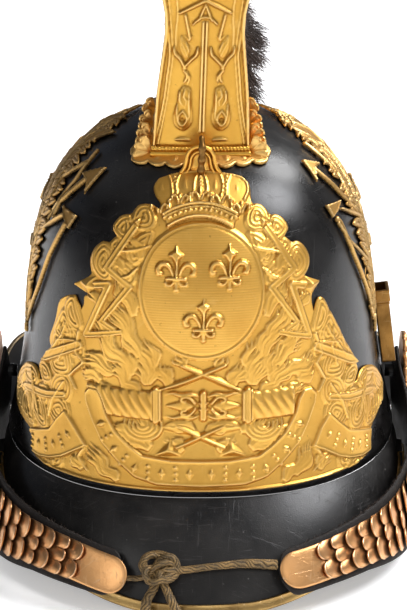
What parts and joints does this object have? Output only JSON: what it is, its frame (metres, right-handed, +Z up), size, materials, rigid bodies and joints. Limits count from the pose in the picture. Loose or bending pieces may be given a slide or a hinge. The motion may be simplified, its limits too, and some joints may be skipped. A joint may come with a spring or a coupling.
{
  "type": "gendarme helmet",
  "caption": "Black leather parade helmet with gilt front plate, tall gilt crest with a hair roll, side ornaments, plume socket and scaled chin straps tied over the peak.",
  "frame": {"origin": "on the surface it stands on, under the middle of the whole length and width", "axes": "+Z up, -Y towards the peak, +X towards the wearer's left"},
  "size_m": [0.2328, 0.3679, 0.3191],
  "materials": {
    "leather": "glossy black lacquered leather with fine scratches",
    "gilt": "stamped gilt brass, satin ground and bright relief, darker in the hollows",
    "ornament": "dull bronzed brass, stamped",
    "socket_brass": "plain folded brass, browned",
    "scale_brass": "satin coppery brass, darker under each row",
    "binding": "plain drawn brass, brownish, bright along its edge",
    "hair": "short dense dark hair",
    "lining": "matt black leather, worn and fuzzy at its edges",
    "cord": "braided flat cord, olive and grey gold"
  },
  "bodies": {
    "root": {"bowl": "leather", "peak": "leather", "neck_guard": "leather", "peak_binding": "binding", "neck_guard_binding": "binding", "front_plate": "gilt", "crest_base": "gilt", "crest_front": "gilt", "crest_comb": "gilt", "crest_mane": "hair", "plume_socket": "socket_brass", "side_ornament_left": "ornament", "chin_boss_left": "scale_brass", "strap_lining_left": "lining", "tongue_left": "scale_brass", "side_ornament_right": "ornament", "chin_boss_right": "scale_brass", "strap_lining_right": "lining", "tongue_right": "scale_brass", "scale_left_01": "scale_brass", "scale_left_02": "scale_brass", "scale_left_03": "scale_brass", "scale_left_04": "scale_brass", "scale_left_05": "scale_brass", "scale_left_06": "scale_brass", "scale_left_07": "scale_brass", "scale_left_08": "scale_brass", "scale_left_09": "scale_brass", "scale_left_10": "scale_brass", "scale_left_11": "scale_brass", "scale_left_12": "scale_brass", "scale_left_13": "scale_brass", "scale_left_14": "scale_brass", "scale_left_15": "scale_brass", "scale_left_16": "scale_brass", "scale_left_17": "scale_brass", "scale_left_18": "scale_brass", "scale_right_01": "scale_brass", "scale_right_02": "scale_brass", "scale_right_03": "scale_brass", "scale_right_04": "scale_brass", "scale_right_05": "scale_brass", "scale_right_06": "scale_brass", "scale_right_07": "scale_brass", "scale_right_08": "scale_brass", "scale_right_09": "scale_brass", "scale_right_10": "scale_brass", "scale_right_11": "scale_brass", "scale_right_12": "scale_brass", "scale_right_13": "scale_brass", "scale_right_14": "scale_brass", "scale_right_15": "scale_brass", "scale_right_16": "scale_brass", "scale_right_17": "scale_brass", "scale_right_18": "scale_brass", "tie_cord_left": "cord", "tie_cord_right": "cord", "tie_knot": "cord", "tie_end_left": "cord", "tie_end_right": "cord"}
  },
  "joints": []
}
